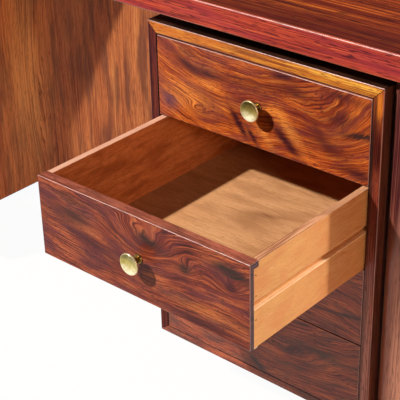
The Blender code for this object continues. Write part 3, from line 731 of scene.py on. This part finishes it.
side_top = half_height - SIDE_DROP
back_face = DRAWER_DEPTH - BACK_FROM_END
nail_rows = ((FRONT_LIP + FRONT_THICKNESS) / 2, back_face - BACK_THICKNESS / 2)
drawer_sides = {}
for hand, side in (("left", -1), ("right", 1)):
    inner, outer = side * SIDE_INNER, side * SIDE_OUTER
    near_x, far_x = sorted((inner, outer))
    piece = board(f"drawer_{hand}_side", (near_x, FRONT_LIP + FRONT_SEAT, -half_height),
                  (far_x, DRAWER_DEPTH, side_top))
    ease(piece, edge_along(1, lambda c: c.z > 0), SIDE_EASE)
    notch = board("notch", (near_x - CUT, -CUT, half_height - FRONT_BAND - FRONT_SEAT),
                  (far_x + CUT, FRONT_THICKNESS + FRONT_SEAT, half_height + CUT))
    apply_boolean(piece, notch, "DIFFERENCE")
    near_x, far_x = sorted((outer - side * GROOVE_DEPTH, outer + side * CUT))
    groove = board("runner_groove", (near_x, -CUT, -GROOVE_HEIGHT / 2),
                   (far_x, DRAWER_DEPTH + CUT, GROOVE_HEIGHT / 2))
    apply_boolean(piece, groove, "DIFFERENCE")
    groove_lip = edge_along(1, lambda c: near(c.x, outer) and near(abs(c.z), GROOVE_HEIGHT / 2))
    ease(piece, groove_lip, GROOVE_EASE)
    near_x, far_x = sorted((inner - side * CUT, inner + side * FLOOR_GROOVE))
    groove = board("floor_groove", (near_x, -CUT, floor_low - FRONT_SEAT),
                   (far_x, DRAWER_DEPTH + CUT, floor_high + FRONT_SEAT))
    apply_boolean(piece, groove, "DIFFERENCE")
    nails = [Vector((outer, row, height)) for row in nail_rows for height in NAIL_HEIGHTS]
    for nail in nails:
        hole = rod(NAIL_RADIUS, 2 * NAIL_SINK, nail, ALONG_X, NAIL_SIDES)
        apply_boolean(piece, hole, "DIFFERENCE")
    piece.data.materials.append(drawer_hardwood)
    lay(piece, waxed_inside, lambda f: f.normal.x * side < -FACING and
        (f.calc_center_median().x - inner) * side < APART)
    lay(piece, handled_edge if side > 0 else bleached_edge,
        lambda f: f.normal.z > UPWARD and f.calc_center_median().z > side_top - SIDE_EASE)
    lay(piece, rubbed_lip, lambda f: abs(f.calc_center_median().z) < GROOVE_HEIGHT and
        (arris(f) or f.normal.z > FACING))
    # The nails are punched below the surface, and their holes are painted near-black, a painted shade
    lay(piece, grimed_edge, lambda f: (outer - f.calc_center_median().x) * side > NEAR and
        any((f.calc_center_median() - nail).length < NAIL_HOLE for nail in nails))
    drawer_sides[hand] = piece

backs = {}
for kind, half in (("loose", SIDE_INNER - FRONT_SEAT), ("joined", SIDE_INNER + BACK_TONGUE)):
    backs[kind] = board(f"{kind}_back", (-half, back_face - BACK_THICKNESS, floor_high + FRONT_SEAT),
                        (half, back_face, side_top - BACK_DROP))
    ease(backs[kind], edge_along(0, lambda c: c.z > 0), SIDE_EASE)
    backs[kind].data.materials.append(drawer_hardwood)
for piece in drawer_sides.values():
    apply_boolean(backs["joined"], copy_of(piece, "joined_side", (0, 0, 0)), "UNION")

for drawer, place in drawers.items():
    if drawer.startswith("right"):
        for hand, piece in drawer_sides.items():
            side = copy_of(piece, f"{drawer}_{hand}_side_board", place)
            seat(side, f"{drawer}_{hand}_side")
        back = copy_of(backs["loose"], f"{drawer}_back_board", place)
        seat(back, f"{drawer}_back")
    else:
        box = copy_of(backs["joined"], f"{drawer}_nailed_box", place)
        seat(box, f"{drawer}_box")
for piece in (*drawer_sides.values(), *backs.values()):
    bpy.data.objects.remove(piece)

# Drawer floors: thin plywood slid into the grooves from behind, with a plain rotary-cut face.
# They stay unfinished, so they are matt, a little pink, and marked by use.
floor_ply = rosewood("floor_ply", "X", "Y", ("#aa784c", "#be895a", "#cb9565", "#d5a171"), "#9c6a40",
                     wander=12.0, cast="#a5734a", clouds=0.6, contrast=0.7, roughness=0.6, gloss=0.1,
                     marks=(("#8a5836", 508, -236, 38, 24, 35, 0.4),
                            ("#7a4a2e", 520, -212, 40, 6, 20, 0.5)))
for drawer in drawers:
    sheet = frame["nodes"][f"{drawer}_floor"]
    sheet.data.materials.clear()
    sheet.data.materials.append(floor_ply)

# Knobs: turned brass with a dished face, a bead round the rim and a waisted neck on a small rose.
# Each is held by its own screw in the drawer's front. The rims are worn bright and the necks dull; the
# dishes are painted cream low down and olive higher up, a painted reflection.
KNOB_RADIUS = 0.0165
KNOB_REACH = 0.020
KNOB_RIM = 0.0022
KNOB_DISH = 0.0028
NECK_RADIUS = 0.00475
ROSE_RADIUS = 0.0075
ROSE_HEIGHT = 0.002
ROSE_EDGE = 0.0012
ROSE_EASE = 0.0006
SCREW_RADIUS = 0.002
SCREW_LENGTH = 0.012
KNOB_SIDES = 64
NECK_STEPS = 8
RIM_STEPS = 8
DISH_STEPS = 9

knob_profile = [
    (SCREW_RADIUS, -SCREW_LENGTH),
    (SCREW_RADIUS, FRONT_SEAT),
    (ROSE_RADIUS, FRONT_SEAT),
    (ROSE_RADIUS, ROSE_EDGE),
    (ROSE_RADIUS - ROSE_EASE, ROSE_HEIGHT),
]
rim_back = KNOB_REACH - KNOB_RIM
for step in range(NECK_STEPS + 1):
    share = step / NECK_STEPS
    swell = NECK_RADIUS + (KNOB_RADIUS - NECK_RADIUS) * share ** 3
    knob_profile.append((swell, ROSE_HEIGHT + (rim_back - ROSE_HEIGHT) * share))
for step in range(1, RIM_STEPS):
    angle = math.pi / 2 * step / RIM_STEPS
    rim_radius = KNOB_RADIUS - KNOB_RIM / 2 * (1 - math.cos(angle))
    knob_profile.append((rim_radius, rim_back + KNOB_RIM * math.sin(angle)))
for step in range(1, DISH_STEPS):
    share = 1 - step / DISH_STEPS
    knob_profile.append(((KNOB_RADIUS - KNOB_RIM) * share, KNOB_REACH - KNOB_DISH * (1 - share ** 2)))
turned_knob = turn("turned_knob", knob_profile, KNOB_SIDES)
turned_knob.data.transform(Matrix.Rotation(math.pi / 2, 4, "X"))

# The place on the turned face, in shares of the radius, tells the material where fingers rub and which way
# is up for the painted reflection
places = turned_knob.data.attributes.new("turned_place", "FLOAT_VECTOR", "POINT")
places.data.foreach_set("vector", [c / KNOB_RADIUS for corner in turned_knob.data.vertices
                                   for c in (corner.co.x, corner.co.z, 0)])

# Brass, softly mottled: cream where it is rubbed at the rim; in the dish painted cream low down and olive
# higher up, a painted reflection
MOTTLING = 220.0  # to a metre: spots of about 4.5 mm
MOTTLED = 1.1  # how far the mottling moves the line between the painted reflection's cream and olive, in radii
REFLECTION_CREAM_BELOW = -0.25  # heights in the dish, in radii
REFLECTION_OLIVE_ABOVE = 1.35
RIM_FROM = 0.90
RIM_FULL = 0.98
rubbed_brass, tree, shader = new_material("rubbed_brass")
where = add_node(tree, "ShaderNodeTexCoord", {})
mottling = add_node(tree, "ShaderNodeTexNoise", {
    "Vector": where.outputs["Object"], "Scale": MOTTLING, "Detail": 2.0,
})
on_face = add_node(tree, "ShaderNodeAttribute", {}, attribute_name="turned_place").outputs["Vector"]
axes = add_node(tree, "ShaderNodeSeparateXYZ", {"Vector": on_face})
uneven = add_node(tree, "ShaderNodeMath", {0: mottling, 1: MOTTLED, 2: axes.outputs["Y"]},
                  operation="MULTIPLY_ADD")
upper = add_node(tree, "ShaderNodeMapRange", {
    "Value": uneven, "From Min": REFLECTION_CREAM_BELOW, "From Max": REFLECTION_OLIVE_ABOVE,
})
dish = add_node(tree, "ShaderNodeValToRGB", {"Fac": upper})
dish.color_ramp.elements.new(0.5)
for stop, colour in zip(dish.color_ramp.elements, ("#f0e4be", "#b8a658", "#665c2c")):
    stop.color = linear(colour)
outward = add_node(tree, "ShaderNodeVectorMath", {0: on_face}, operation="LENGTH")
rim = add_node(tree, "ShaderNodeMapRange", {"Value": outward, "From Min": RIM_FROM, "From Max": RIM_FULL})
toned = add_node(tree, "ShaderNodeMix", {0: rim, 6: dish, 7: linear("#dcc896")}, data_type="RGBA")
set_sockets(tree, shader, {"Base Color": toned, "Metallic": 0.6, "Roughness": 0.28})
# The neck and the rose keep their tarnish
tarnished_brass, tree, shader = new_material("tarnished_brass")
where = add_node(tree, "ShaderNodeTexCoord", {})
mottling = add_node(tree, "ShaderNodeTexNoise", {
    "Vector": where.outputs["Object"], "Scale": MOTTLING, "Detail": 2.0,
})
toned = add_node(tree, "ShaderNodeMix", {0: mottling, 6: linear("#4e3a16"), 7: linear("#a98a48")},
                 data_type="RGBA")
set_sockets(tree, shader, {"Base Color": toned, "Metallic": 0.9, "Roughness": 0.3})
turned_knob.data.materials.append(tarnished_brass)
lay(turned_knob, rubbed_brass, lambda f: f.calc_center_median().y < -rim_back or
    f.normal.y < -FACING and f.calc_center_median().y < -KNOB_REACH / 2)
for drawer, place in drawers.items():
    knob = copy_of(turned_knob, f"{drawer}_brass_knob", place)
    seat(knob, f"{drawer}_knob")
bpy.data.objects.remove(turned_knob)

# Stage: a pale studio floor in white surroundings. The floor shows white to the camera, with the desk's
# shadow left faint on it, and throws light back onto the desk only from nearby.
FLOOR_SIZE = 40
FLOOR_NEAR = 1.0  # metres from the desk's middle, between which the light thrown back fades
FLOOR_FAR = 1.9
FLOOR_WHITE = 0.96  # in what is seen of the floor; the rest is lit, and keeps the desk's shadow


def seen_rays(tree, path):
    """Tells the rays that show the surroundings: from the camera, off gloss or through glass."""
    seen = path.outputs["Is Camera Ray"]
    for kind in ("Is Glossy Ray", "Is Transmission Ray"):
        seen = add_node(tree, "ShaderNodeMath", {0: seen, 1: path.outputs[kind]}, operation="MAXIMUM")
    return seen


bpy.ops.object.select_all(action="DESELECT")
bpy.ops.mesh.primitive_plane_add(size=FLOOR_SIZE, location=(0, 0, 0))
floor = bpy.context.object
floor.name = "studio_floor"
pale_floor, tree, shader = new_material("pale_floor")
path = add_node(tree, "ShaderNodeLightPath", {})
where = add_node(tree, "ShaderNodeTexCoord", {})
away = add_node(tree, "ShaderNodeVectorMath", {0: where.outputs["Object"]}, operation="LENGTH")
far = add_node(tree, "ShaderNodeMapRange", {"Value": away, "From Min": FLOOR_NEAR, "From Max": FLOOR_FAR},
               interpolation_type="SMOOTHSTEP")
dim = add_node(tree, "ShaderNodeMath", {0: far, 1: path.outputs["Is Diffuse Ray"]}, operation="MULTIPLY")
dimmed = add_node(tree, "ShaderNodeMix", {0: dim, 6: linear("#e8d4bf"), 7: linear("#3c3630")},
                  data_type="RGBA")
set_sockets(tree, shader, {"Base Color": dimmed, "Roughness": 0.9, "Specular IOR Level": 0.0})
share = add_node(tree, "ShaderNodeMath", {0: seen_rays(tree, path), 1: FLOOR_WHITE}, operation="MULTIPLY")
glow = add_node(tree, "ShaderNodeEmission", {"Color": (1, 1, 1, 1), "Strength": 1.0})
mixed = add_node(tree, "ShaderNodeMixShader", {0: share, 1: shader, 2: glow})
set_sockets(tree, tree.nodes["Material Output"], {"Surface": mixed})
floor.data.materials.append(pale_floor)

# Surroundings: white to the camera. In gloss they darken upwards and to the back, as in a studio with dark
# upper walls, and the light that they give is a faint cool fill.
FILL = 0.05
FILL_TINT = "#c4d0ff"
BACKWARD_SHARE = 0.3  # how far a look towards the back counts as a look upwards
DARK_FROM = 0.10
DARK_FULL = 0.25
DARK_LEVEL = 0.12
world = bpy.data.worlds.new("white_studio")
world.use_nodes = True
bpy.context.scene.world = world
tree = world.node_tree
path = add_node(tree, "ShaderNodeLightPath", {})
seen = seen_rays(tree, path)
facing = add_node(tree, "ShaderNodeTexCoord", {})
facing = add_node(tree, "ShaderNodeSeparateXYZ", {"Vector": facing.outputs["Generated"]})
lifted = add_node(tree, "ShaderNodeMath", {
    0: facing.outputs["Y"], 1: BACKWARD_SHARE, 2: facing.outputs["Z"],
}, operation="MULTIPLY_ADD")
backdrop = add_node(tree, "ShaderNodeMapRange", {
    "Value": lifted, "From Min": DARK_FROM, "From Max": DARK_FULL, "To Min": 1.0, "To Max": DARK_LEVEL,
}, interpolation_type="SMOOTHSTEP")
shown = add_node(tree, "ShaderNodeMath", {0: backdrop, 1: path.outputs["Is Camera Ray"]},
                 operation="MAXIMUM")
tint = add_node(tree, "ShaderNodeMix", {0: seen, 6: linear(FILL_TINT), 7: (1, 1, 1, 1)}, data_type="RGBA")
level = add_node(tree, "ShaderNodeMix", {0: seen, 2: FILL, 3: shown})
set_sockets(tree, tree.nodes["Background"], {"Color": tint, "Strength": level})

# Lamps: a key at the front left, one behind at the right, a small one beside the right pedestal, a warm
# fill at the front right, and the glow of a warm wall at the right.
# A level of 1 lights a white surface to white.
KEY_AIM = Vector((0.45, -0.35, 0.5))
KEY_FROM = Vector((-0.44, -0.60, 0.635))
KEY_DISTANCE = 4.5
KEY_SIZE = (0.15, 0.15)
KEY_LEVEL = 1.87
BACK_PLACE = Vector((1.68, 1.40, 1.86))
BACK_AIM = Vector((-0.29, 0.25, 0.35))
BACK_SIZE = (0.08, 0.08)
BACK_LEVEL = 0.88
SIDE_PLACE = Vector((1.20, 0.57, 0.79))
SIDE_AIM = Vector((0.70, -0.35, 0.47))
SIDE_SIZE = (0.05, 0.12)
SIDE_LEVEL = 0.62
WARM_PLACE = Vector((3.05, -1.55, 1.58))
WARM_AIM = Vector((0.30, -0.20, 0.45))
WARM_SIZE = (0.5, 0.5)
WARM_LEVEL = 0.25
WARM_COLOUR = "#ffdcc0"
WALL_PLACE = Vector((2.60, 0.30, 0.55))
WALL_AIM = Vector((0.72, -0.30, 0.45))
WALL_SIZE = (0.9, 0.7)
WALL_LEVEL = 0.12
WALL_COLOUR = "#ffa470"


def lamp(name, place, aim, size, level, colour="#ffffff"):
    """A lamp that lights a white surface at its aim to the given level."""
    light = bpy.data.lights.new(name, "AREA")
    light.shape = "RECTANGLE"
    light.size, light.size_y = size
    light.color = linear(colour)[:3]
    light.energy = level * (math.pi * (place - aim).length) ** 2
    lamp_object = bpy.data.objects.new(name, light)
    lamp_object.location = place
    lamp_object.rotation_euler = (aim - place).to_track_quat("-Z", "Y").to_euler()
    bpy.context.scene.collection.objects.link(lamp_object)


lamp("key_lamp", KEY_AIM + KEY_FROM.normalized() * KEY_DISTANCE, KEY_AIM, KEY_SIZE, KEY_LEVEL)
lamp("back_lamp", BACK_PLACE, BACK_AIM, BACK_SIZE, BACK_LEVEL)
lamp("side_lamp", SIDE_PLACE, SIDE_AIM, SIDE_SIZE, SIDE_LEVEL)
lamp("warm_fill", WARM_PLACE, WARM_AIM, WARM_SIZE, WARM_LEVEL, WARM_COLOUR)
lamp("wall_glow", WALL_PLACE, WALL_AIM, WALL_SIZE, WALL_LEVEL, WALL_COLOUR)

# Camera: at chest height to the right of the open drawer, as the photograph was taken, with a long lens
# that keeps the desk's lines nearly parallel.
CAMERA_PLACE = (1.503, -1.4755, 1.3267)
CAMERA_TURN = (61.179, 1.317, 41.078)  # degrees about X, Y and Z
SENSOR_WIDTH = 36.0
FOCAL_LENGTH = 108.4
camera = bpy.data.cameras.new("camera")
camera.sensor_width = SENSOR_WIDTH
camera.lens = FOCAL_LENGTH
camera_object = bpy.data.objects.new("camera", camera)
camera_object.location = CAMERA_PLACE
camera_object.rotation_euler = [math.radians(angle) for angle in CAMERA_TURN]
bpy.context.scene.collection.objects.link(camera_object)
bpy.context.scene.camera = camera_object
bpy.context.scene.view_settings.view_transform = "Standard"
